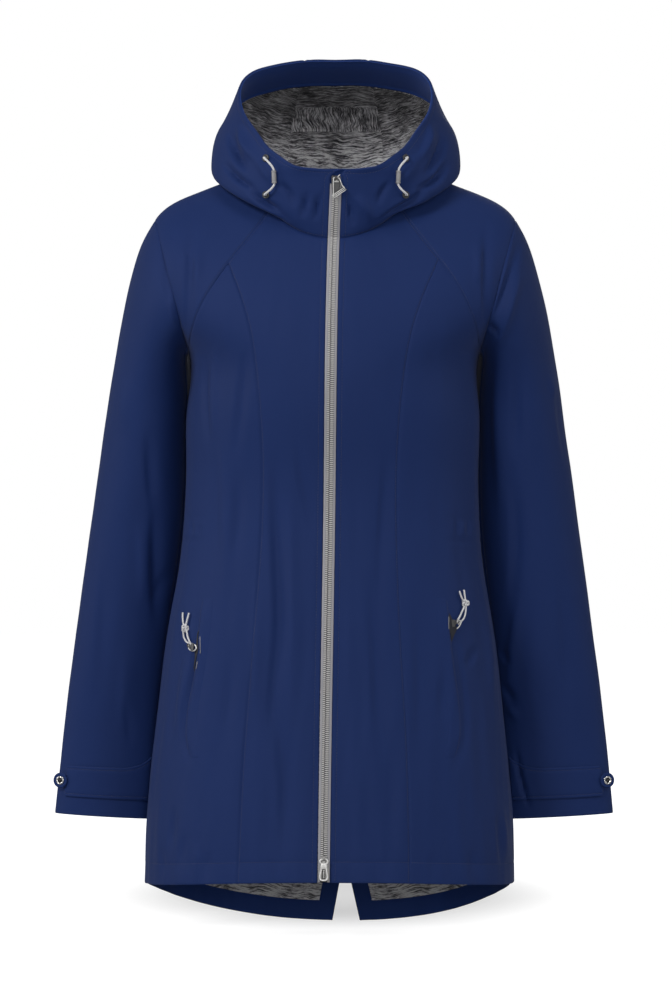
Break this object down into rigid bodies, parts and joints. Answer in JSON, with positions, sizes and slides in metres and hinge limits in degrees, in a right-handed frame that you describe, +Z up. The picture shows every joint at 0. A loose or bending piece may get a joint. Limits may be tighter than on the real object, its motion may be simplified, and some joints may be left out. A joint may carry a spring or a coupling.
{
  "type": "hooded raincoat",
  "caption": "Hip-length hooded raincoat, filled out and empty, with a front zip, slanting yoke seams, set-in sleeves with cuff tabs, zipped pockets and a longer back with a vent.",
  "frame": {"origin": "middle of the neck opening, level with the tops of the shoulders, where a wearer or a stand holds the coat", "axes": "+Z up, the front towards -Y, the wearer's left towards +X"},
  "size_m": [0.6216, 0.3195, 0.9596],
  "materials": {
    "shell": "navy woven polyester, smooth and matte",
    "facing": "inside of the navy cloth",
    "lining": "grey melange jersey",
    "tape": "grey woven zip tape",
    "metal": "bright die-cast metal",
    "toggle": "grey, soft",
    "cord": "light grey braided cord"
  },
  "bodies": {
    "coat": {"back_facing_left": "facing", "back_facing_right": "facing", "back_left": "shell", "back_lining_left": "lining", "back_lining_right": "lining", "back_right": "shell", "cuff_snap_left": "metal", "cuff_snap_right": "metal", "cuff_tab_left": "shell", "cuff_tab_right": "shell", "front_left": "shell", "front_right": "shell", "hood_centre": "shell", "hood_cord_left": "cord", "hood_cord_right": "cord", "hood_eyelet_lower_left": "metal", "hood_eyelet_lower_right": "metal", "hood_eyelet_upper_left": "metal", "hood_eyelet_upper_right": "metal", "hood_facing": "facing", "hood_lining_centre": "lining", "hood_lining_left": "lining", "hood_lining_right": "lining", "hood_side_left": "shell", "hood_side_right": "shell", "hood_toggle_left": "toggle", "hood_toggle_right": "toggle", "pocket_cord_left": "cord", "pocket_cord_right": "cord", "pocket_knot_left": "cord", "pocket_knot_right": "cord", "pocket_slider_left": "metal", "pocket_slider_right": "metal", "pocket_welt_left": "shell", "pocket_welt_right": "shell", "pocket_zip_left": "tape", "pocket_zip_right": "tape", "side_front_left": "shell", "side_front_right": "shell", "sleeve_left": "shell", "sleeve_right": "shell", "under_sleeve_left": "shell", "under_sleeve_right": "shell", "yoke_left": "shell", "yoke_right": "shell", "zip_slider_bottom": "metal", "zip_slider_top": "metal", "zip_tape_left": "tape", "zip_tape_right": "tape"},
    "pull_top": {"zip_pull_top": "metal"},
    "pull_bottom": {"zip_pull_bottom": "metal"}
  },
  "joints": [
    {"name": "pull_top_hinge", "type": "hinge", "parent": "coat", "child": "pull_top", "pos_m": [0.00246, -0.10335, 0.01809], "axis": [-0.9688, 0.0254, -0.2463], "range_deg": [0, 150]},
    {"name": "pull_bottom_hinge", "type": "hinge", "parent": "coat", "child": "pull_bottom", "pos_m": [-0.01078, -0.15235, -0.71474], "axis": [-0.9999, 0.0008, 0.0125], "range_deg": [0, 150]}
  ]
}
